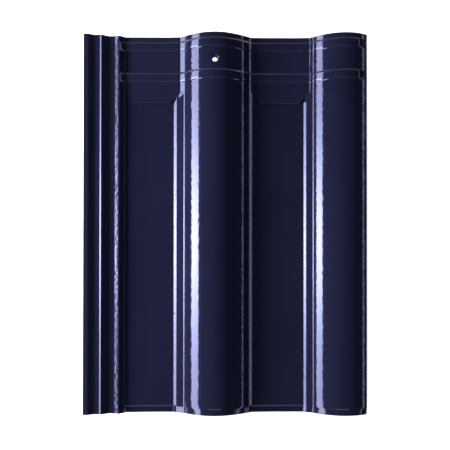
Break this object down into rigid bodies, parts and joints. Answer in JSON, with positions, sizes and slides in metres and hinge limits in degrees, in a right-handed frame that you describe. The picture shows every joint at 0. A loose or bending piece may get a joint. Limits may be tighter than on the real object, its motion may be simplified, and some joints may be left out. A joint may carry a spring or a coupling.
{
  "type": "roof tile",
  "caption": "Glazed clay interlocking roof tile with rounded rolls, flat pans, a ribbed side lock, head bars and a nail hole.",
  "frame": {"origin": "centre of the tile's outline in plan, on the plane that its nibs and turned-down tail rest on", "axes": "+X across the tile from the side lock to the cover edge, +Y up the roof from tail to head, +Z out of the glazed face"},
  "size_m": [0.298, 0.4, 0.0415],
  "materials": {
    "glaze": "dark navy gloss glaze over fired clay, bare clay underneath"
  },
  "bodies": {
    "root": {"roof_tile": "glaze"}
  },
  "joints": []
}
